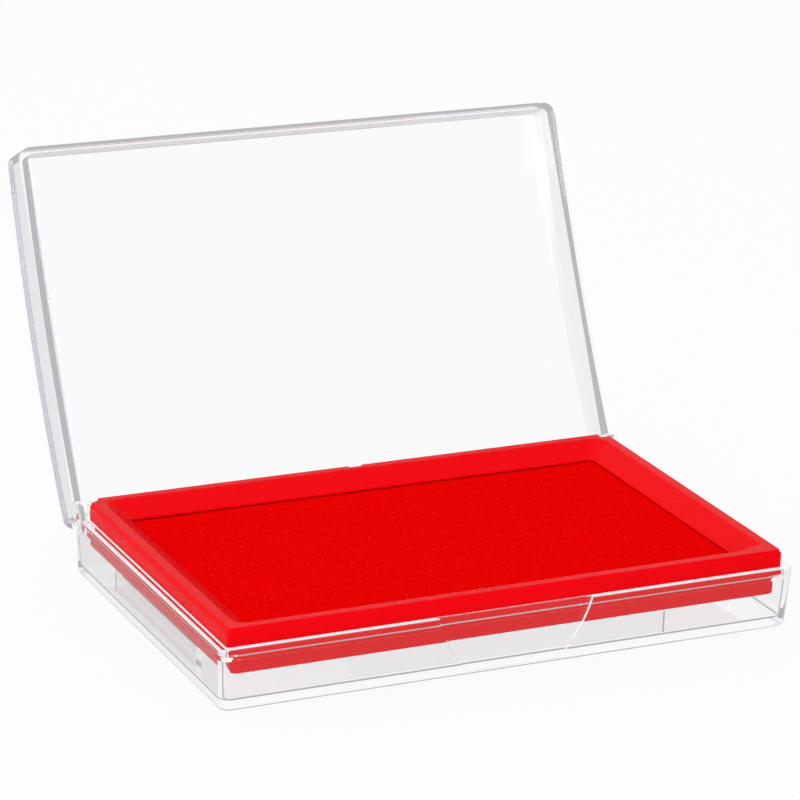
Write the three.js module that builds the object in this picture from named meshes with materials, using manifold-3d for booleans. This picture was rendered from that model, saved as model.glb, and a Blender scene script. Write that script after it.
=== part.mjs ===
// Stamp pad in a clear hinged case, lid standing open. Millimetres, +Z up, X along the length, Y to the hinge.
import * as THREE from 'three';
import { mergeVertices } from 'three/addons/utils/BufferGeometryUtils.js';
import Module from 'manifold-3d';

const wasm = await Module();
wasm.setup();

// Fits
const clearance = 0.3;
const turningClearance = 0.5;
const pinClearance = 0.2;

// Lower case
const caseHalfLength = 69;
const caseHalfWidth = 44;
const caseHeight = 14.3;
const caseCorner = 2;
const caseDraft = 0.6;
const caseBottomRound = 1.3;
const caseTopRound = 0.4;
const caseFloor = 2.1;
const caseFloorFillet = 1;
const caseWall = 1.5;
const hollowCorner = 1;
const sideRimWall = 2;
const frontRimWall = 1.5;
const backRimWall = 2.2;
const ledgeDrop = 2;
const ledgeWidth = 0.8;
const ledgeCorner = 3;
const beadHeight = 3;

// Thumb scoop in the front wall
const scoopTopHalf = 18.4;
const scoopFootHalf = 11.2;
const scoopFoot = 1;
const scoopTopLean = 0.24;
const scoopDepthTop = 0.8;
const scoopDepthFoot = 0.4;

// Rest ribs under the tray
const ribThick = 1.2;
const ribGap = 1;
const longRibHalf = 38;
const shortRibHalf = 24;

// Hinge
const axisInset = 2;
const axisDrop = 0.5;
const openAngle = THREE.MathUtils.degToRad(116.5);
const earRadius = 3.6;
const pinRadius = 1.4;
const pinShort = 0.1;
const lugRadius = 3.2;
const lugThick = 2.2;
const lugReach = 2.7;

// Lid
const lidSideWall = 2.1;
const lidEndWall = 1.5;
const lidPanel = 1.9;
const lidSideHeight = 8.4;
const lidCrown = 3.2;
const lidCorner = 3;
const lidInnerCorner = 1.5;
const lidEdgeRound = 0.6;
const lidBackRoom = 0.4;

// Red frame
const frameHeight = 5.6;
const skirtThick = 0.9;
const frameCorner = 0.8;
const openingCorner = 3;
const lipCorner = 1.2;
const rimWidth = 3;
const lipReach = 7.8;
const lipDrop = 3.7;
const lipNose = 0.7;
const slopeThick = 1.3;
const rimThick = 1.5;
const frameEdgeRound = 0.5;
const edgeStep = 0.3;
const edgeStepDrop = 0.65;
const backNotchHalf = 1.7;
const backNotchDepth = 0.6;
const backNotchReach = 1.2;

// Red tray and the soft layers in it
const trayHeight = 6.6;
const trayWall = 1.4;
const trayFloor = 1.3;
const trayCorner = 1.2;
const tubCorner = 1.6;
const trayBottomRound = 0.6;
const feltThick = 0.8;
const clothEdgeThick = 0.8;
const clothCrown = 0.5;
const clothTuck = 2.8;
const clothShoulder = 4;

// Sizes that follow from the fits
const backShift = (frontRimWall - backRimWall) / 2;
const rabbetHalfLength = caseHalfLength - sideRimWall;
const rabbetHalfWidth = caseHalfWidth - (frontRimWall + backRimWall) / 2;
const wellHalfLength = rabbetHalfLength - ledgeWidth;
const wellHalfWidth = rabbetHalfWidth - ledgeWidth;
const frameHalfLength = rabbetHalfLength - clearance;
const frameHalfWidth = rabbetHalfWidth - clearance;
const ledgeHeight = caseHeight - ledgeDrop;
const beadBottom = caseHeight - beadHeight;
const frameBottom = ledgeHeight + clearance;
const frameTop = frameBottom + frameHeight;
const lipBottom = frameTop - lipDrop;
const trayTop = lipBottom - clearance;
const trayBottom = trayTop - trayHeight;
const trayHalfLength = frameHalfLength - skirtThick - clearance;
const trayHalfWidth = frameHalfWidth - skirtThick - clearance;
const layerHalfLength = trayHalfLength - trayWall - clearance;
const layerHalfWidth = trayHalfWidth - trayWall - clearance;
const openingHalfLength = frameHalfLength - lipReach;
const openingHalfWidth = frameHalfWidth - lipReach;
const clothEdge = lipBottom - clearance;
const clothBottom = clothEdge - clothEdgeThick;
const feltBottom = clothBottom - clearance - feltThick;
const spongeBottom = trayBottom + trayFloor + clearance;
const spongeThick = feltBottom - clearance - spongeBottom;
const ribTop = trayBottom - clearance;
const lidRim = caseHeight + clearance;
const lidInnerHalfLength = caseHalfLength - lidSideWall;
const lidInnerHalfWidth = caseHalfWidth - lidEndWall;
const axisY = caseHalfWidth - axisInset;
const axisZ = caseHeight - axisDrop;
const lugOuter = lidInnerHalfLength - clearance;
const lugInner = lugOuter - lugThick;
const lugFront = axisY - lugReach;
const crownRadius = (caseHalfWidth ** 2 + lidCrown ** 2) / (2 * lidCrown);
const crownCentre = lidRim + lidSideHeight + lidCrown - crownRadius;

// How finely curves are divided
const cornerSteps = 6;
const roundSteps = 4;
const crownSteps = 44;
const cylinderSteps = 40;
const beyond = 5;

// Solids
function toSolid(geometry) {
  const bare = geometry.clone();
  bare.deleteAttribute('normal');
  bare.deleteAttribute('uv');
  const merged = mergeVertices(bare);
  return new wasm.Manifold(new wasm.Mesh({
    numProp: 3,
    vertProperties: new Float32Array(merged.attributes.position.array),
    triVerts: new Uint32Array(merged.index.array),
  }));
}

function toMesh(name, solid, colour, roughness) {
  const { vertProperties, triVerts } = solid.getMesh();
  const geometry = new THREE.BufferGeometry();
  geometry.setAttribute('position', new THREE.BufferAttribute(vertProperties, 3));
  geometry.setIndex(new THREE.BufferAttribute(triVerts, 1));
  geometry.computeVertexNormals();
  const material = new THREE.MeshStandardMaterial({ color: colour, roughness, metalness: 0 });
  const mesh = new THREE.Mesh(geometry, material);
  mesh.name = name;
  return mesh;
}

// A box between two corners
function box(x0, x1, y0, y1, z0, z1) {
  const geometry = new THREE.BoxGeometry(x1 - x0, y1 - y0, z1 - z0);
  geometry.translate((x0 + x1) / 2, (y0 + y1) / 2, (z0 + z1) / 2);
  return toSolid(geometry);
}

// A round bar on the hinge axis
function hingeBar(radius, x0, x1) {
  const geometry = new THREE.CylinderGeometry(radius, radius, x1 - x0, cylinderSteps);
  geometry.rotateZ(Math.PI / 2);
  geometry.translate((x0 + x1) / 2, axisY, axisZ);
  return toSolid(geometry);
}

// One level of a rounded rectangle, anticlockwise from above
function ring(z, halfLength, halfWidth, radius, shiftY = 0) {
  const points = [];
  for (let corner = 0; corner < 4; corner += 1) {
    const centreX = (corner === 0 || corner === 3 ? 1 : -1) * (halfLength - radius);
    const centreY = (corner < 2 ? 1 : -1) * (halfWidth - radius) + shiftY;
    for (let step = 0; step <= cornerSteps; step += 1) {
      const angle = (corner + step / cornerSteps) * Math.PI / 2;
      points.push(new THREE.Vector3(centreX + radius * Math.cos(angle), centreY + radius * Math.sin(angle), z));
    }
  }
  return points;
}

// A solid through rings of the same count: capped at both ends, or joined end to end
function loft(rings, endless = false) {
  const count = rings[0].length;
  const index = [];
  const bands = endless ? rings.length : rings.length - 1;
  for (let band = 0; band < bands; band += 1) {
    const lower = band * count;
    const upper = ((band + 1) % rings.length) * count;
    for (let here = 0; here < count; here += 1) {
      const next = (here + 1) % count;
      index.push(lower + here, lower + next, upper + next);
      index.push(lower + here, upper + next, upper + here);
    }
  }
  if (!endless) {
    const last = (rings.length - 1) * count;
    for (let here = 1; here < count - 1; here += 1) {
      index.push(0, here + 1, here);
      index.push(last, last + here, last + here + 1);
    }
  }
  const geometry = new THREE.BufferGeometry().setFromPoints(rings.flat());
  geometry.setIndex(index);
  return toSolid(geometry);
}

// A quarter circle as pairs: how far in from the side, how far from the end
function quarterRound(radius) {
  const pairs = [];
  for (let step = 0; step <= roundSteps; step += 1) {
    const angle = (step / roundSteps) * Math.PI / 2;
    pairs.push([radius * (1 - Math.sin(angle)), radius * (1 - Math.cos(angle))]);
  }
  return pairs;
}

// Lower case: thin cup with a drafted outside, a rounded foot and a rim bead that holds the rabbet for the pad
function caseCup() {
  const outside = (z, inset) => ring(z, caseHalfLength - inset, caseHalfWidth - inset, caseCorner);
  const straight = caseHeight - caseTopRound - caseBottomRound;
  const wallInset = (z) => caseWall + caseDraft * (1 - (z - caseBottomRound) / straight);
  const hollow = (z, inset) => {
    const total = wallInset(z) + inset;
    return ring(z, caseHalfLength - total, caseHalfWidth - total, hollowCorner);
  };
  const rings = [];
  for (const [inset, z] of quarterRound(caseBottomRound)) {
    rings.push(outside(z, caseDraft + inset));
  }
  for (const [inset, drop] of quarterRound(caseTopRound).reverse()) {
    rings.push(outside(caseHeight - drop, inset));
  }
  rings.push(ring(caseHeight, rabbetHalfLength, rabbetHalfWidth, frameCorner, backShift));
  rings.push(ring(ledgeHeight, rabbetHalfLength, rabbetHalfWidth, frameCorner, backShift));
  rings.push(ring(ledgeHeight, wellHalfLength, wellHalfWidth, ledgeCorner, backShift));
  rings.push(ring(beadBottom, wellHalfLength, wellHalfWidth, ledgeCorner, backShift));
  rings.push(hollow(beadBottom, 0));
  for (const [inset, z] of quarterRound(caseFloorFillet).reverse()) {
    rings.push(hollow(caseFloor + z, inset));
  }
  return loft(rings);
}

// Thumb scoop: a sunk panel with curved sides that close in to its foot, deeper at the top
function scoopCutter() {
  const top = caseHeight + beyond;
  const middle = (caseHeight + scoopFoot) / 2;
  const bend = scoopTopHalf - scoopTopLean * (caseHeight - middle);
  const topSide = scoopTopHalf + scoopTopLean * beyond;
  const outline = new THREE.Shape();
  outline.moveTo(-topSide, top);
  outline.lineTo(-scoopTopHalf, caseHeight);
  outline.quadraticCurveTo(-bend, middle, -scoopFootHalf, scoopFoot);
  outline.lineTo(scoopFootHalf, scoopFoot);
  outline.quadraticCurveTo(bend, middle, scoopTopHalf, caseHeight);
  outline.lineTo(topSide, top);
  const geometry = new THREE.ExtrudeGeometry(outline, { depth: beyond, bevelEnabled: false, curveSegments: 8 });
  geometry.rotateX(Math.PI / 2);
  const footY = -caseHalfWidth + caseDraft + scoopDepthFoot;
  const topY = -caseHalfWidth + scoopDepthTop;
  const slope = (topY - footY) / (caseHeight - scoopFoot);
  const lay = new THREE.Matrix4().set(
    1, 0, 0, 0,
    0, 1, slope, footY - slope * scoopFoot,
    0, 0, 1, 0,
    0, 0, 0, 1,
  );
  geometry.applyMatrix4(lay);
  return toSolid(geometry);
}

// Upright ribs that the tray rests on
function restRibs() {
  const low = caseFloor / 2;
  const alongX = wellHalfWidth - ribGap - ribThick / 2;
  const alongY = wellHalfLength - ribGap - ribThick / 2;
  const ribs = [];
  for (const side of [-1, 1]) {
    const y = side * alongX + backShift;
    const x = side * alongY;
    ribs.push(box(-longRibHalf, longRibHalf, y - ribThick / 2, y + ribThick / 2, low, ribTop));
    ribs.push(box(x - ribThick / 2, x + ribThick / 2, -shortRibHalf, shortRibHalf, low, ribTop));
  }
  return ribs;
}

// Back wall raised and rounded about the hinge axis, with a lug at each end
function hingeWall() {
  const bar = hingeBar(lugRadius, -lugOuter, lugOuter);
  const wallBand = box(-lugOuter, lugOuter, caseHalfWidth - backRimWall, caseHalfWidth, ledgeHeight, frameTop);
  const solids = [bar.intersect(wallBand)];
  for (const side of [-1, 1]) {
    const x0 = Math.min(side * lugInner, side * lugOuter);
    const x1 = Math.max(side * lugInner, side * lugOuter);
    const lugBand = box(x0, x1, lugFront, caseHalfWidth, ledgeHeight - ledgeWidth, frameTop);
    solids.push(bar.intersect(lugBand));
  }
  return solids;
}

function lowerCase() {
  let solid = caseCup().subtract(scoopCutter());
  for (const piece of [...restRibs(), ...hingeWall()]) {
    solid = solid.add(piece);
  }
  for (const side of [-1, 1]) {
    const outer = side * (caseHalfLength + beyond);
    const face = side * lugOuter;
    const earRoom = hingeBar(earRadius + turningClearance, Math.min(face, outer), Math.max(face, outer));
    const inner = side * (lugInner - 1);
    const hole = hingeBar(pinRadius + pinClearance, Math.min(inner, face), Math.max(inner, face));
    solid = solid.subtract(earRoom).subtract(hole);
  }
  return solid;
}

// A red moulding without its two back corners, where the hinge lugs stand
function clearOfLugs(solid) {
  const far = caseHalfLength + beyond;
  const roomX = lugInner - clearance;
  const roomY = lugFront - clearance;
  const right = box(roomX, far, roomY, far, 0, frameTop + beyond);
  const left = box(-far, -roomX, roomY, far, 0, frameTop + beyond);
  return solid.subtract(right).subtract(left);
}

// Red frame: skirt with a stepped top edge, flat rim and sloping inner wall, hollow below
function padFrame() {
  const rim = frameTop;
  const lipTop = lipBottom + lipNose;
  const stepRound = quarterRound(edgeStep).reverse();
  const section = [
    [0, frameBottom, frameCorner],
    ...stepRound.map(([inset, drop]) => [inset, rim - edgeStepDrop - drop, frameCorner]),
    ...stepRound.map(([inset, drop]) => [edgeStep + inset, rim - drop, frameCorner]),
    [rimWidth - frameEdgeRound, rim, openingCorner],
    [rimWidth, rim - frameEdgeRound / 2, openingCorner],
    [lipReach - frameEdgeRound / 2, lipTop, lipCorner],
    [lipReach, lipBottom + lipNose / 2, lipCorner],
    [lipReach - frameEdgeRound / 2, lipBottom, lipCorner],
    [lipReach - slopeThick, lipBottom, lipCorner],
    [rimWidth - frameEdgeRound, rim - rimThick, openingCorner],
    [skirtThick, rim - rimThick, frameCorner],
    [skirtThick, frameBottom, frameCorner],
  ];
  const rings = section.map(([inset, z, corner]) => (
    ring(z, frameHalfLength - inset, frameHalfWidth - inset, corner, backShift)
  ));
  const notchY = frameHalfWidth + backShift - backNotchReach;
  const notchEnd = caseHalfWidth + beyond;
  return clearOfLugs(loft(rings, true)).subtract(
    box(-backNotchHalf, backNotchHalf, notchY, notchEnd, frameTop - backNotchDepth, frameTop + beyond),
  );
}

// Red tray: an open tub with rounded bottom edges, its wall inside the frame's skirt
function padTray() {
  const tub = (z, inset, corner) => ring(z, trayHalfLength - inset, trayHalfWidth - inset, corner, backShift);
  const rings = [];
  for (const [inset, z] of quarterRound(trayBottomRound)) {
    rings.push(tub(trayBottom + z, inset, trayCorner));
  }
  rings.push(tub(trayTop, 0, trayCorner));
  rings.push(tub(trayTop, trayWall, tubCorner));
  rings.push(tub(trayBottom + trayFloor, trayWall, tubCorner));
  return clearOfLugs(loft(rings));
}

// A flat soft layer that fills the tub
function softLayer(bottom, thick) {
  return loft([
    ring(bottom, layerHalfLength, layerHalfWidth, tubCorner, backShift),
    ring(bottom + thick, layerHalfLength, layerHalfWidth, tubCorner, backShift),
  ]);
}

// Ink cloth: tucked flat below the frame's lip, then rising to a soft low crown
function padCloth() {
  const halfLength = openingHalfLength + clothTuck;
  const halfWidth = openingHalfWidth + clothTuck;
  const level = (z, inset) => ring(z, halfLength - inset, halfWidth - inset, openingCorner, backShift);
  const rings = [level(clothBottom, 0), level(clothEdge, 0), level(clothEdge, clothTuck)];
  for (let step = 1; step <= roundSteps; step += 1) {
    const share = step / roundSteps;
    const rise = clothCrown * Math.sin(share * Math.PI / 2);
    rings.push(level(clothEdge + rise, clothTuck + clothShoulder * share));
  }
  return loft(rings);
}

// End view of the lid in its closed place: upright sides, small rounds and a crowned top
function lidProfile(x, halfWidth, radius, round, foot) {
  const points = [new THREE.Vector3(x, halfWidth, foot)];
  const roundY = halfWidth - round;
  const roundZ = crownCentre + Math.sqrt((radius - round) ** 2 - roundY ** 2);
  const meet = Math.atan2(roundZ - crownCentre, roundY);
  for (let step = 0; step <= roundSteps; step += 1) {
    const angle = meet * step / roundSteps;
    points.push(new THREE.Vector3(x, roundY + round * Math.cos(angle), roundZ + round * Math.sin(angle)));
  }
  for (let step = 1; step < crownSteps; step += 1) {
    const angle = meet + (Math.PI - 2 * meet) * step / crownSteps;
    points.push(new THREE.Vector3(x, radius * Math.cos(angle), crownCentre + radius * Math.sin(angle)));
  }
  for (let step = roundSteps; step >= 0; step -= 1) {
    const angle = meet * step / roundSteps;
    points.push(new THREE.Vector3(x, -roundY - round * Math.cos(angle), roundZ + round * Math.sin(angle)));
  }
  points.push(new THREE.Vector3(x, -halfWidth, foot));
  return points;
}

// A crowned block with rounded top edges and rounded upright corners
function crownedBlock(halfLength, halfWidth, radius, corner, foot) {
  const ends = quarterRound(lidEdgeRound);
  const section = (x, inset) => lidProfile(x, halfWidth - inset, radius - inset, lidEdgeRound, foot);
  const rings = [
    ...ends.map(([inset, along]) => section(-halfLength + along, inset)),
    ...ends.map(([inset, along]) => section(halfLength - along, inset)).reverse(),
  ];
  const top = crownCentre + crownRadius + beyond;
  const plan = loft([ring(foot, halfLength, halfWidth, corner), ring(top, halfLength, halfWidth, corner)]);
  return loft(rings).intersect(plan);
}

function lidShell() {
  const outside = crownedBlock(caseHalfLength, caseHalfWidth, crownRadius, lidCorner, lidRim);
  const hollowRadius = crownRadius - lidPanel;
  const hollow = crownedBlock(lidInnerHalfLength, lidInnerHalfWidth, hollowRadius, lidInnerCorner, lidRim - beyond);
  const backTop = axisZ + lugRadius + lidBackRoom;
  const backStart = lidInnerHalfWidth - lidInnerCorner;
  const far = caseHalfWidth + beyond;
  const backGap = box(-lidInnerHalfLength, lidInnerHalfLength, backStart, far, lidRim - beyond, backTop);
  let solid = outside.subtract(hollow).subtract(backGap);
  for (const side of [-1, 1]) {
    const face = side * lidInnerHalfLength;
    const outer = side * caseHalfLength;
    const tip = side * (lugInner + pinShort);
    solid = solid.add(hingeBar(earRadius, Math.min(face, outer), Math.max(face, outer)));
    solid = solid.add(hingeBar(pinRadius, Math.min(tip, outer), Math.max(tip, outer)));
  }
  return solid;
}

// Assembly
const clear = 0xe8e6f0;
const red = 0xe8061a;
const inkRed = 0xd90408;

const part = new THREE.Group();
part.name = 'stamp_pad';
part.add(toMesh('lower_case', lowerCase(), clear, 0.08));
part.add(toMesh('pad_tray', padTray(), red, 0.35));
part.add(toMesh('pad_frame', padFrame(), red, 0.35));
part.add(toMesh('ink_sponge', softLayer(spongeBottom, spongeThick), inkRed, 0.95));
part.add(toMesh('wick_felt', softLayer(feltBottom, feltThick), inkRed, 0.95));
part.add(toMesh('pad_cloth', padCloth(), inkRed, 0.9));

// The lid is shaped closed, then turned open about the hinge axis
const lid = toMesh('lid', lidShell(), clear, 0.08);
lid.position.set(0, -axisY, -axisZ);
const lidTurn = new THREE.Group();
lidTurn.name = 'lid_turn';
lidTurn.position.set(0, axisY, axisZ);
lidTurn.rotation.x = -openAngle;
lidTurn.add(lid);
part.add(lidTurn);

export default part;
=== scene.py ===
# %% [markdown]
# # A stamp pad in a clear hinged case
# The real object is a flat box of two clear mouldings with a red ink pad inside. The CAD model gives every
# rigid shape, and this lesson dresses it: clear plastic for the case and the lid, satin red plastic for
# the frame and the tray, and real soft layers in place of the three plain blocks that stand for them.

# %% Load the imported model
import math

import bmesh
import bpy
from mathutils import Matrix, Vector, noise


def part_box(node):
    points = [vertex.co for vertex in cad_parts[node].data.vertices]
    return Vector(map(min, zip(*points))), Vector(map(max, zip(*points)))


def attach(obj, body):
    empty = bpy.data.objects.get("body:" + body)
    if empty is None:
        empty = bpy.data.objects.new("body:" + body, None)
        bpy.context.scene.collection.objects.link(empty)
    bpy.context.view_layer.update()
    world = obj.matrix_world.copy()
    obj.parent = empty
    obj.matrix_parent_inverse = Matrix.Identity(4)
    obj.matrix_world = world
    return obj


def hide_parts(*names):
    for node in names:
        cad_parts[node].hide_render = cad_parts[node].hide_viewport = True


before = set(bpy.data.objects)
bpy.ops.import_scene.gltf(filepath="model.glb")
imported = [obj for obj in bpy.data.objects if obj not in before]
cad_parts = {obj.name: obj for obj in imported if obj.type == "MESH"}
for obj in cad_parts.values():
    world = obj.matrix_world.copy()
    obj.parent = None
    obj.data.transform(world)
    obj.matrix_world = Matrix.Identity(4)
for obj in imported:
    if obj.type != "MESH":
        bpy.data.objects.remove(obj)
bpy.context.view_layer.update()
MM = 0.001

# %% [markdown]
# ## The camera
# A long lens to the front left of the pad and a little above it. A constraint could aim the camera at the
# pad, but its place was worked out from the straight edges of the case, so it is given as a point, two
# angles and a small tilt, which one matrix holds exactly.

# %% Place the camera
PICTURE_PIXELS = 800
FOCAL_PIXELS = 3827.14
SENSOR_MM = 36
FURTHEST_SEEN = 20
CAMERA_PLACE = Vector((-355.03, -722.13, 320.85)) * MM
CAMERA_AZIMUTH = math.radians(25.63)
CAMERA_DIP = math.radians(18.78)
CAMERA_TILT = math.radians(1.89)


def camera_matrix(place, azimuth, dip, tilt):
    along = math.cos(dip)
    ahead = Vector((math.sin(azimuth) * along, math.cos(azimuth) * along, -math.sin(dip)))
    level = Vector((math.cos(azimuth), -math.sin(azimuth), 0))
    upright = level.cross(ahead)
    right = level * math.cos(tilt) + upright * math.sin(tilt)
    up = right.cross(ahead)
    turn = Matrix((right, up, -ahead)).transposed()
    return Matrix.Translation(place) @ turn.to_4x4()


lens = bpy.data.cameras.new("camera")
lens.sensor_width = SENSOR_MM
lens.sensor_fit = "HORIZONTAL"
lens.lens = FOCAL_PIXELS / PICTURE_PIXELS * SENSOR_MM
lens.clip_end = FURTHEST_SEEN
camera = bpy.data.objects.new("camera", lens)
camera.matrix_world = camera_matrix(CAMERA_PLACE, CAMERA_AZIMUTH, CAMERA_DIP, CAMERA_TILT)
bpy.context.scene.collection.objects.link(camera)
bpy.context.scene.camera = camera
print("lens in mm:", round(lens.lens, 1))

# %% [markdown]
# ## Helpers for materials
# Colours are written as the hex values that a paint program shows, while Blender works in linear light, so
# one function turns the first into the second. A material could be drawn by hand in the node editor. Here
# another function adds one node, sets its values and links whatever socket it is handed, so that each
# material reads as a short recipe.

# %% Colour and node helpers


def linear(hex_colour):
    channels = [int(hex_colour[place:place + 2], 16) / 255 for place in (0, 2, 4)]
    return [c / 12.92 if c <= 0.04045 else ((c + 0.055) / 1.055) ** 2.4 for c in channels] + [1]


def add(tree, kind, values=None, **settings):
    node = tree.nodes.new(kind)
    for name, setting in settings.items():
        setattr(node, name, setting)
    for name, value in (values or {}).items():
        if isinstance(value, bpy.types.NodeSocket):
            tree.links.new(value, node.inputs[name])
        else:
            node.inputs[name].default_value = value
    return node


def new_material(name):
    material = bpy.data.materials.new(name)
    material.use_nodes = True
    material.node_tree.nodes.clear()
    return material


WHITE = linear("ffffff")
print("white in linear light:", WHITE)

# %% [markdown]
# ## What a ray has met
# The table and the room have to be white to look at, without lighting the pad any more than plain lamps
# do. The Light Path node tells one ray from another, so two small helpers ask it. The first finds the rays
# that look: from the camera, from a mirror or through the plastic. The second finds those that were
# mirrored exactly once.

# %% Tell the rays apart
ONE_MIRROR = 1
HALF_A_STEP = 0.5
# The strength at which a surface that gives off light shows as white.
PLAIN_WHITE = 1.0


def seen_directly(tree):
    path = add(tree, "ShaderNodeLightPath")
    sight = add(tree, "ShaderNodeMath", {
        0: path.outputs["Is Camera Ray"], 1: path.outputs["Is Glossy Ray"]}, operation="MAXIMUM")
    sight = add(tree, "ShaderNodeMath", {
        0: sight.outputs[0], 1: path.outputs["Is Transmission Ray"]}, operation="MAXIMUM")
    return sight.outputs[0]


def mirrored_once(tree):
    path = add(tree, "ShaderNodeLightPath")
    once = add(tree, "ShaderNodeMath", {
        0: path.outputs["Glossy Depth"], 1: ONE_MIRROR, 2: HALF_A_STEP}, operation="COMPARE")
    return once.outputs[0]


print("white has a strength of", PLAIN_WHITE)

# %% [markdown]
# ## The table
# The pad stands on a plain white laminate table. Lamps strong enough to make it white would burn out the
# red, so the table gives off a white of strength 1 to the rays that look at it. A share of it stays a real
# matt surface, which keeps the object's shadow. A clear face mirrors it dimmer than it is, because an even
# white all round would wash out the red behind the walls and hide their edges.

# %% Build the table
TABLE_HALF = 3
# The top lies a hair inside the underside of the case, so that no film of air between them mirrors the tray.
TABLE_RISE = 0.03 * MM
# The share of the table that gives off white, to the camera and to the rays that met plastic first.
SHARE_TO_CAMERA = 0.92
SHARE_TO_PLASTIC = 0.97
# How strong that white is under the case, behind it and in a mirror, where 1 is white.
UNDER_CASE_TONE = PLAIN_WHITE
BEHIND_TONE = 0.96
MIRRORED_TONE = 0.45
BACK_WALL_BLEND = 4 * MM
case_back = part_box("lower_case")[1].y


def white_laminate():
    material = new_material("white_laminate_table")
    tree = material.node_tree
    matt = add(tree, "ShaderNodeBsdfDiffuse", {"Color": linear("f4f4f4")})
    path = add(tree, "ShaderNodeLightPath")
    place = add(tree, "ShaderNodeNewGeometry")
    split = add(tree, "ShaderNodeSeparateXYZ", {0: place.outputs["Position"]})
    behind = add(tree, "ShaderNodeMapRange", {
        "Value": split.outputs["Y"], "From Min": case_back - BACK_WALL_BLEND, "From Max": case_back,
        "To Min": UNDER_CASE_TONE, "To Max": BEHIND_TONE})
    tone = add(tree, "ShaderNodeMix", {
        "Factor": mirrored_once(tree), "A": behind.outputs[0], "B": MIRRORED_TONE}, data_type="FLOAT")
    bright = add(tree, "ShaderNodeMix", {
        "Factor": path.outputs["Is Camera Ray"], "A": tone.outputs[0], "B": PLAIN_WHITE}, data_type="FLOAT")
    white = add(tree, "ShaderNodeEmission", {"Color": WHITE, "Strength": bright.outputs[0]})
    own = add(tree, "ShaderNodeMapRange", {
        "Value": path.outputs["Is Camera Ray"], "To Min": SHARE_TO_PLASTIC, "To Max": SHARE_TO_CAMERA})
    share = add(tree, "ShaderNodeMath", {0: seen_directly(tree), 1: own.outputs[0]}, operation="MULTIPLY")
    mix = add(tree, "ShaderNodeMixShader", {0: share.outputs[0], 1: matt.outputs[0], 2: white.outputs[0]})
    add(tree, "ShaderNodeOutputMaterial", {"Surface": mix.outputs[0]})
    return material


floor_mesh = bpy.data.meshes.new("floor")
sides = ((-1, -1), (1, -1), (1, 1), (-1, 1))
floor_mesh.from_pydata([(x * TABLE_HALF, y * TABLE_HALF, TABLE_RISE) for x, y in sides], [], [(0, 1, 2, 3)])
floor_mesh.materials.append(white_laminate())
floor = bpy.data.objects.new("floor", floor_mesh)
bpy.context.scene.collection.objects.link(floor)
print("table:", 2 * TABLE_HALF, "m square")

# %% [markdown]
# ## The room and its lamps
# One soft lamp hangs over the table and a larger one stands low at the front left, as softboxes do in a
# studio. The room is the world around them: white to look at, and a weaker fill as light. It grows dimmer
# to the right and below, both in that fill and in what a face mirrors, so that the faces of the case
# differ in tone. A picture of a studio could stand here, but a gradient is enough for plain faces.

# %% Make the room
WALL_LIGHT = 0.62
DIM_SIDE = 0.3
# Height less distance to the right, for a direction of length 1.
DIMMEST_AT = -0.8
FULL_FROM = 0


def room_light():
    world = bpy.data.worlds.new("studio_room")
    world.use_nodes = True
    tree = world.node_tree
    tree.nodes.clear()
    outward = add(tree, "ShaderNodeTexCoord").outputs["Generated"]
    split = add(tree, "ShaderNodeSeparateXYZ", {0: outward})
    lit_side = add(tree, "ShaderNodeMath", {0: split.outputs["Z"], 1: split.outputs["X"]},
                   operation="SUBTRACT")
    walls = add(tree, "ShaderNodeMapRange", {
        "Value": lit_side.outputs[0], "From Min": DIMMEST_AT, "From Max": FULL_FROM,
        "To Min": DIM_SIDE, "To Max": PLAIN_WHITE}, interpolation_type="SMOOTHSTEP")
    plain = add(tree, "ShaderNodeMix", {
        "Factor": mirrored_once(tree), "A": PLAIN_WHITE, "B": walls.outputs[0]}, data_type="FLOAT")
    seen = add(tree, "ShaderNodeBackground", {"Color": WHITE, "Strength": plain.outputs[0]})
    level = add(tree, "ShaderNodeMath", {0: walls.outputs[0], 1: WALL_LIGHT}, operation="MULTIPLY")
    fill = add(tree, "ShaderNodeBackground", {"Color": WHITE, "Strength": level.outputs[0]})
    mix = add(tree, "ShaderNodeMixShader", {0: seen_directly(tree), 1: fill.outputs[0], 2: seen.outputs[0]})
    add(tree, "ShaderNodeOutputWorld", {"Surface": mix.outputs[0]})
    return world


bpy.context.scene.world = room_light()
print("room:", bpy.context.scene.world.name)

# %% Hang the lamps
OVERHEAD_PLACE = (-0.25, 0.1, 0.95)
OVERHEAD_SIDE = 0.9
OVERHEAD_WATTS = 2.4
FRONT_PLACE = (-1.1, -1.5, 0.25)
FRONT_SIDE = 1.2
FRONT_WATTS = 17.5
# Light crosses many clear faces on its way, so its paths may take more turns than they do by default.
LIGHT_PATH_TURNS = 128


def soft_lamp(name, place, side, watts):
    light = bpy.data.lights.new(name, "AREA")
    light.shape = "SQUARE"
    light.size = side
    light.energy = watts
    lamp = bpy.data.objects.new(name, light)
    lamp.location = place
    lamp.rotation_euler = (-Vector(place)).to_track_quat("-Z", "Y").to_euler()
    bpy.context.scene.collection.objects.link(lamp)


soft_lamp("overhead_softbox", OVERHEAD_PLACE, OVERHEAD_SIDE, OVERHEAD_WATTS)
soft_lamp("front_softbox", FRONT_PLACE, FRONT_SIDE, FRONT_WATTS)
bpy.context.scene.view_settings.view_transform = "Standard"
for kind_of_path in ("max_bounces", "glossy_bounces", "transmission_bounces", "transparent_max_bounces"):
    setattr(bpy.context.scene.cycles, kind_of_path, LIGHT_PATH_TURNS)

# %% [markdown]
# ## Moulded edges
# The CAD solids arrive as bare triangles. Moulded plastic is smooth over its gentle bends and has no knife
# edges. That could be modelled by hand with bevels on a new mesh. Modifiers were chosen, because they
# leave the CAD mesh as it is: they join the triangles, merge the flat ones, roll a fine radius along the
# sharp edges of the red pieces and let the large faces set the shading, which keeps the clear walls free
# of streaks.

# %% Join the triangles
SMOOTH_BELOW = math.radians(28)
JOIN_WITHIN = 0.001 * MM


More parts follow.
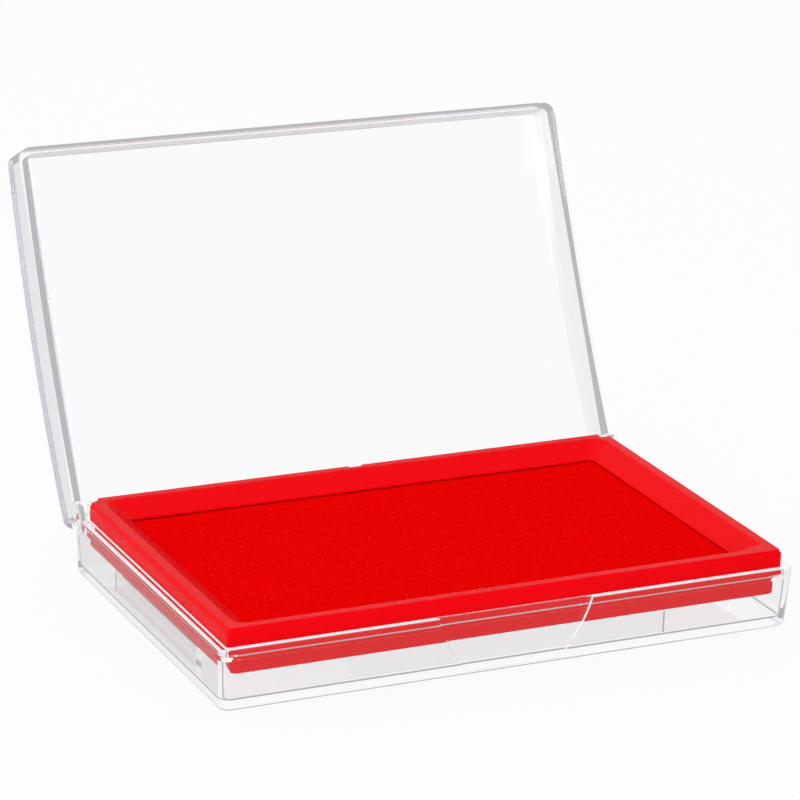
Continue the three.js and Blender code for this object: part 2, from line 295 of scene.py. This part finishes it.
def joined_skin():
    group = bpy.data.node_groups.new("joined_skin", "GeometryNodeTree")
    group.interface.new_socket("Geometry", in_out="INPUT", socket_type="NodeSocketGeometry")
    group.interface.new_socket("Geometry", in_out="OUTPUT", socket_type="NodeSocketGeometry")
    start = add(group, "NodeGroupInput")
    bare = add(group, "GeometryNodeRemoveAttribute", {"Geometry": start.outputs[0], "Name": "custom_normal"})
    joined = add(group, "GeometryNodeMergeByDistance", {"Geometry": bare.outputs[0], "Distance": JOIN_WITHIN})
    smooth = add(group, "GeometryNodeSetShadeSmooth", {"Geometry": joined.outputs[0], "Shade Smooth": True},
                 domain="FACE")
    bend = add(group, "GeometryNodeInputMeshEdgeAngle")
    sharp = add(group, "FunctionNodeCompare", {0: bend.outputs["Unsigned Angle"], 1: SMOOTH_BELOW},
                data_type="FLOAT", operation="GREATER_THAN")
    creased = add(group, "GeometryNodeSetShadeSmooth", {
        "Geometry": smooth.outputs[0], "Selection": sharp.outputs[0], "Shade Smooth": False}, domain="EDGE")
    add(group, "NodeGroupOutput", {0: creased.outputs[0]})
    return group


skin = joined_skin()
print("bends stay smooth below", round(math.degrees(SMOOTH_BELOW)), "degrees")

# %% Flats, edges and shading
FLAT_WITHIN = math.radians(0.05)
EDGE_STEPS = 2
LARGE_FACES_LEAD = 100


def mould_edges(node, radius):
    join = node.modifiers.new("joined_skin", "NODES")
    join.node_group = skin
    flats = node.modifiers.new("flats", "DECIMATE")
    flats.decimate_type = "DISSOLVE"
    flats.angle_limit = FLAT_WITHIN
    if radius:
        edge = node.modifiers.new("edge_radius", "BEVEL")
        edge.width = radius
        edge.segments = EDGE_STEPS
        edge.limit_method = "ANGLE"
        edge.angle_limit = SMOOTH_BELOW
        edge.use_clamp_overlap = False
    even = node.modifiers.new("even_normals", "WEIGHTED_NORMAL")
    even.keep_sharp = True
    even.weight = LARGE_FACES_LEAD
    print(node.name, "has the modifiers", [modifier.name for modifier in node.modifiers])


# %% [markdown]
# ## Clear case and lid
# Crystal polystyrene, injection moulded and left as the polished tool made it. A Glass shader could stand
# for it. The Principled shader with full transmission was chosen, because its values keep their meaning
# when the part is exported, and a volume that absorbs a little gives the faint violet where one looks
# along a wall. Light on its way to the red parts goes straight through: bent light would be grainy, and
# the real wall is too thin to show it.

# %% Clear polystyrene
# To the eye: a wall that is hardly there, thin bright lines along its edges and faint waves from the melt.
CLEAR_PIECES = ("lower_case", "lid")
NO_RADIUS = 0
MELT_WAVE = 30 * MM
MELT_WAVE_DEPTH = 0.2 * MM
MELT_WAVE_STRENGTH = 0.02
# Hairline marks are far finer than a pixel, so they are drawn as a haze in patches of this size.
HAZE_PATCH = 4 * MM
HAZE_FROM, HAZE_TO = 0.35, 0.7
POLISHED, HAZY = 0.03, 0.06
# Polystyrene's own IOR is 1.59. It was lowered to match walls that mirror less than that.
CLEAR_IOR = 1.47
VIOLET_DENSITY = 5


def clear_polystyrene():
    material = new_material("moulded_clear_polystyrene")
    tree = material.node_tree
    place = add(tree, "ShaderNodeTexCoord").outputs["Object"]
    flow = add(tree, "ShaderNodeTexNoise", {"Vector": place, "Scale": 1 / MELT_WAVE, "Detail": 2})
    haze = add(tree, "ShaderNodeTexNoise", {"Vector": place, "Scale": 1 / HAZE_PATCH, "Detail": 4})
    gloss = add(tree, "ShaderNodeMapRange", {
        "Value": haze.outputs["Fac"], "From Min": HAZE_FROM, "From Max": HAZE_TO,
        "To Min": POLISHED, "To Max": HAZY})
    ripple = add(tree, "ShaderNodeBump", {
        "Height": flow.outputs["Fac"], "Strength": MELT_WAVE_STRENGTH, "Distance": MELT_WAVE_DEPTH})
    plastic = add(tree, "ShaderNodeBsdfPrincipled", {
        "Base Color": WHITE, "Roughness": gloss.outputs[0], "IOR": CLEAR_IOR, "Transmission Weight": 1,
        "Normal": ripple.outputs[0]})
    path = add(tree, "ShaderNodeLightPath")
    lighting = add(tree, "ShaderNodeMath", {
        0: path.outputs["Is Shadow Ray"], 1: path.outputs["Is Diffuse Ray"]}, operation="MAXIMUM")
    open_way = add(tree, "ShaderNodeBsdfTransparent", {"Color": linear("f6f5f8")})
    surface = add(tree, "ShaderNodeMixShader", {
        0: lighting.outputs[0], 1: plastic.outputs[0], 2: open_way.outputs[0]})
    depth = add(tree, "ShaderNodeVolumeAbsorption", {"Color": linear("d8d0e8"), "Density": VIOLET_DENSITY})
    add(tree, "ShaderNodeOutputMaterial", {"Surface": surface.outputs[0], "Volume": depth.outputs[0]})
    return material


clear = clear_polystyrene()
for name in CLEAR_PIECES:
    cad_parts[name].data.materials[0] = clear
    mould_edges(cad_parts[name], NO_RADIUS)

# %% [markdown]
# ## Red frame and tray
# High-impact polystyrene, coloured all through and moulded in a satin tool. One flat red would do from
# afar, but real colour is never stirred quite even, so a slow noise moves the red and its gloss by a few
# steps, and a fine one stands for the grain that the tool leaves.

# %% Red polystyrene
# To the eye: an even strong red, hardly any mirror image and a soft sheen on faces turned to the lamps.
RED_PIECES = ("pad_frame", "pad_tray")
RED_EDGE_RADIUS = 0.12 * MM
COLOUR_CLOUD = 18 * MM
# The grain of a satin tool is nearer 0.1 mm, which is less than a pixel, so it is drawn coarser.
TOOL_GRAIN = 0.5 * MM
TOOL_GRAIN_DEPTH = 0.05 * MM
TOOL_GRAIN_STRENGTH = 0.08
SATIN_LOW, SATIN_HIGH = 0.22, 0.32
RED_IOR = 1.5
# The real frame mirrors far less than its IOR would give.
RED_MIRROR = 0.05


def red_polystyrene():
    material = new_material("satin_moulded_red_polystyrene")
    tree = material.node_tree
    place = add(tree, "ShaderNodeTexCoord").outputs["Object"]
    grain = add(tree, "ShaderNodeTexNoise", {"Vector": place, "Scale": 1 / TOOL_GRAIN, "Detail": 3})
    cloud = add(tree, "ShaderNodeTexNoise", {
        "Vector": place, "Scale": 1 / COLOUR_CLOUD, "Detail": 3})
    shade = add(tree, "ShaderNodeMix", {
        "Factor": cloud.outputs["Fac"], "A": linear("f6000b"), "B": linear("fc0010")}, data_type="RGBA")
    gloss = add(tree, "ShaderNodeMapRange", {
        "Value": cloud.outputs["Fac"], "To Min": SATIN_LOW, "To Max": SATIN_HIGH})
    bump = add(tree, "ShaderNodeBump", {
        "Height": grain.outputs["Fac"], "Strength": TOOL_GRAIN_STRENGTH, "Distance": TOOL_GRAIN_DEPTH})
    plastic = add(tree, "ShaderNodeBsdfPrincipled", {
        "Base Color": shade.outputs["Result"], "Roughness": gloss.outputs[0], "IOR": RED_IOR,
        "Specular IOR Level": RED_MIRROR, "Normal": bump.outputs[0]})
    add(tree, "ShaderNodeOutputMaterial", {"Surface": plastic.outputs[0]})
    return material


red = red_polystyrene()
for name in RED_PIECES:
    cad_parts[name].data.materials[0] = red
    mould_edges(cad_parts[name], RED_EDGE_RADIUS)

# %% [markdown]
# ## The soft layers
# Foam holds the ink, felt spreads it and a fine cloth is stretched over both. A cloth simulation could
# drape them, but they are thin, held flat in a tray and hardly move. So each is a grid of small squares
# whose heights are worked out from the distance to its edge and a little noise, with a modifier for its
# thickness.

# %% A grid of small squares


def rounded_place(x, y, half_x, half_y, corner):
    over_x = abs(x) - (half_x - corner)
    over_y = abs(y) - (half_y - corner)
    if over_x <= 0 or over_y <= 0:
        return x, y
    scale = max(over_x, over_y) / math.hypot(over_x, over_y)
    return (math.copysign(half_x - corner + over_x * scale, x),
            math.copysign(half_y - corner + over_y * scale, y))


def square_grid(low, high, corner, step, height_at):
    middle = (low + high) / 2
    half = (high - low) / 2
    columns = round(2 * half.x / step)
    rows = round(2 * half.y / step)
    mesh = bmesh.new()
    grid = []
    for row in range(rows + 1):
        line = []
        for column in range(columns + 1):
            x = half.x * (2 * column / columns - 1)
            y = half.y * (2 * row / rows - 1)
            inside = min(half.x - abs(x), half.y - abs(y))
            x, y = rounded_place(x, y, half.x, half.y, corner)
            line.append(mesh.verts.new((middle.x + x, middle.y + y, low.z + height_at(x, y, inside))))
        grid.append(line)
    for row in range(rows):
        for column in range(columns):
            mesh.faces.new((grid[row][column], grid[row][column + 1],
                            grid[row + 1][column + 1], grid[row + 1][column]))
    for face in mesh.faces:
        face.smooth = True
    return mesh


# %% A layer laid in its place
DOWNWARD = -1


def laid_layer(name, node, corner, step, height_at, thick):
    low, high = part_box(node)
    mesh = square_grid(low, high, corner, step, height_at)
    data = bpy.data.meshes.new(name)
    mesh.to_mesh(data)
    mesh.free()
    layer = bpy.data.objects.new(name, data)
    bpy.context.scene.collection.objects.link(layer)
    body = layer.modifiers.new("thickness", "SOLIDIFY")
    body.thickness = thick
    body.offset = DOWNWARD
    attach(layer, "base")
    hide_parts(node)
    print(name, "has", len(data.polygons), "squares on its top")
    return layer


def flat_size(node):
    low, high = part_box(node)
    return (high.x - low.x, high.y - low.y)


# %% [markdown]
# ## Ink cloth
# A fine cotton cloth, damp with ink. It lies flat where the frame's lip holds it, rises over a soft
# shoulder and then runs almost level. Ink swells it unevenly, so its top wanders a little. Threads could
# be modelled one by one, but they are finer than a pixel, so a noise for the nap gives the bump, and paler
# flecks on it are painted glints of the damp ink.

# %% Shape of the cloth
CLOTH_STEP = 1 * MM
CLOTH_CORNER = 3 * MM
CLOTH_TUCK = 2.8 * MM
CLOTH_SHOULDER = 4 * MM
CLOTH_EDGE = 0.8 * MM
CLOTH_CROWN = 0.5 * MM
CLOTH_THICK = 0.5 * MM
CLOTH_WANDER = 0.06 * MM
CLOTH_WANDER_WIDTH = 22 * MM
CLOTH_WANDER_SINK = 0.5


def cloth_height(x, y, inside):
    rise = min(max((inside - CLOTH_TUCK) / CLOTH_SHOULDER, 0), 1)
    swell = math.sin(rise * math.pi / 2)
    wander = noise.noise(Vector((x, y, 0)) / CLOTH_WANDER_WIDTH) - CLOTH_WANDER_SINK
    return CLOTH_EDGE + swell * (CLOTH_CROWN + CLOTH_WANDER * wander)


cloth = laid_layer("ink_cloth", "pad_cloth", CLOTH_CORNER, CLOTH_STEP, cloth_height, CLOTH_THICK)

# %% Inked cotton
# To the eye: a deep matt red with fine paler flecks on the raised nap, which are painted glints of the damp
# ink, and no gloss.
# A nap of about 0.2 mm would be less than a pixel, so it is drawn at nearly twice that.
NAP = 0.38 * MM
NAP_DEPTH = 0.15 * MM
NAP_STRENGTH = 0.35
# Where the nap stands highest, a paler red is painted in as the glints of the damp ink.
PAINTED_GLINT_FROM, PAINTED_GLINT_TO = 0.56, 0.76
PAINTED_GLINT_STRENGTH = 0.5
DAMP_PATCH = 25 * MM
CLOTH_ROUGHNESS = 0.7
COTTON_IOR = 1.45


def inked_cotton():
    material = new_material("inked_woven_cotton")
    tree = material.node_tree
    place = add(tree, "ShaderNodeTexCoord").outputs["Object"]
    nap = add(tree, "ShaderNodeTexNoise", {"Vector": place, "Scale": 1 / NAP, "Detail": 2})
    damp = add(tree, "ShaderNodeTexNoise", {"Vector": place, "Scale": 1 / DAMP_PATCH, "Detail": 3})
    shade = add(tree, "ShaderNodeMix", {
        "Factor": damp.outputs["Fac"], "A": linear("f60001"), "B": linear("fb0002")}, data_type="RGBA")
    painted_glint = add(tree, "ShaderNodeMapRange", {
        "Value": nap.outputs["Fac"], "From Min": PAINTED_GLINT_FROM, "From Max": PAINTED_GLINT_TO,
        "To Min": 0, "To Max": PAINTED_GLINT_STRENGTH})
    # The paler red ff3a34 is a painted glint, not the cloth's own colour.
    colour = add(tree, "ShaderNodeMix", {
        "Factor": painted_glint.outputs[0], "A": shade.outputs["Result"], "B": linear("ff3a34")}, data_type="RGBA")
    bump = add(tree, "ShaderNodeBump", {
        "Height": nap.outputs["Fac"], "Strength": NAP_STRENGTH, "Distance": NAP_DEPTH})
    cotton = add(tree, "ShaderNodeBsdfPrincipled", {
        "Base Color": colour.outputs["Result"], "Roughness": CLOTH_ROUGHNESS, "IOR": COTTON_IOR,
        "Specular IOR Level": 0, "Normal": bump.outputs[0]})
    add(tree, "ShaderNodeOutputMaterial", {"Surface": cotton.outputs[0]})
    return material


cloth.data.materials.append(inked_cotton())
print("cloth material:", cloth.data.materials[0].name)

# %% [markdown]
# ## Felt wick
# Felt is a mat of short wool fibres pressed together, so its faces are uneven in a small way. It lies flat
# under the cloth. Hair particles could show its fibres, but the cloth hides it, so a twisted noise is
# enough.

# %% Shape of the felt
FELT_STEP = 2 * MM
LAYER_CORNER = 1.6 * MM
FELT_THICK = 0.8 * MM
FELT_WANDER = 0.08 * MM
FELT_WANDER_WIDTH = 5 * MM


def felt_height(x, y, inside):
    return FELT_THICK + FELT_WANDER * noise.noise(Vector((x, y, 1)) / FELT_WANDER_WIDTH)


felt = laid_layer("felt_wick", "wick_felt", LAYER_CORNER, FELT_STEP, felt_height, FELT_THICK)

# %% Inked felt
# To the eye: a darker matt red, cloudy with tangled fibres, and a slight sheen from those that stand up.
# A wool fibre is about 0.03 mm thick, so what is drawn is the size of the tufts that fibres gather in.
FELT_TUFT = 0.8 * MM
FELT_TUFT_DEPTH = 0.2 * MM
FELT_TUFT_STRENGTH = 0.6
FELT_TWIST = 1.5
FELT_ROUGHNESS = 0.9
FELT_SHEEN = 0.2


def inked_felt():
    material = new_material("inked_pressed_wool_felt")
    tree = material.node_tree
    place = add(tree, "ShaderNodeTexCoord").outputs["Object"]
    fibre = add(tree, "ShaderNodeTexNoise", {
        "Vector": place, "Scale": 1 / FELT_TUFT, "Detail": 6, "Distortion": FELT_TWIST})
    shade = add(tree, "ShaderNodeMix", {
        "Factor": fibre.outputs["Fac"], "A": linear("a80006"), "B": linear("cc000c")}, data_type="RGBA")
    bump = add(tree, "ShaderNodeBump", {
        "Height": fibre.outputs["Fac"], "Strength": FELT_TUFT_STRENGTH, "Distance": FELT_TUFT_DEPTH})
    wool = add(tree, "ShaderNodeBsdfPrincipled", {
        "Base Color": shade.outputs["Result"], "Roughness": FELT_ROUGHNESS, "Sheen Weight": FELT_SHEEN,
        "Normal": bump.outputs[0]})
    add(tree, "ShaderNodeOutputMaterial", {"Surface": wool.outputs[0]})
    return material


felt.data.materials.append(inked_felt())
print("felt material:", felt.data.materials[0].name)

# %% [markdown]
# ## Ink foam
# An open-celled slab cut a little full for its tub, so that its top crowns slightly and presses the felt
# against the cloth. Cutting real cells into the mesh would take millions of faces for a piece that is
# never seen, so a Voronoi pattern gives them as a bump, with painted shade in their hollows.

# %% Shape of the foam
FOAM_STEP = 2 * MM
FOAM_THICK = 2.8 * MM
FOAM_CROWN = 0.15 * MM
FOAM_SHOULDER = 12 * MM


def foam_height(x, y, inside):
    return FOAM_THICK + FOAM_CROWN * math.sin(min(inside / FOAM_SHOULDER, 1) * math.pi / 2)


foam = laid_layer("foam_reservoir", "ink_sponge", LAYER_CORNER, FOAM_STEP, foam_height, FOAM_THICK)
print("foam in mm:", [round(side / MM, 1) for side in flat_size("ink_sponge")])

# %% Inked foam
# To the eye: a dark wet red, with round cells whose hollow middles are darkened by painted shade.
FOAM_CELL = 0.9 * MM
FOAM_CELL_DEPTH = 0.4 * MM
FOAM_CELL_STRENGTH = 0.8
FOAM_ROUGHNESS = 0.8


def inked_foam():
    material = new_material("inked_open_cell_foam")
    tree = material.node_tree
    place = add(tree, "ShaderNodeTexCoord").outputs["Object"]
    cells = add(tree, "ShaderNodeTexVoronoi", {"Vector": place, "Scale": 1 / FOAM_CELL})
    # The dark red 7a0004 at the middle of each cell is painted shade in its hollow.
    shade = add(tree, "ShaderNodeMix", {
        "Factor": cells.outputs["Distance"], "A": linear("7a0004"), "B": linear("c4000a")}, data_type="RGBA")
    bump = add(tree, "ShaderNodeBump", {
        "Height": cells.outputs["Distance"], "Strength": FOAM_CELL_STRENGTH, "Distance": FOAM_CELL_DEPTH})
    sponge = add(tree, "ShaderNodeBsdfPrincipled", {
        "Base Color": shade.outputs["Result"], "Roughness": FOAM_ROUGHNESS, "Normal": bump.outputs[0]})
    add(tree, "ShaderNodeOutputMaterial", {"Surface": sponge.outputs[0]})
    return material


foam.data.materials.append(inked_foam())
print("soft pieces:", [piece.name for piece in (cloth, felt, foam)])
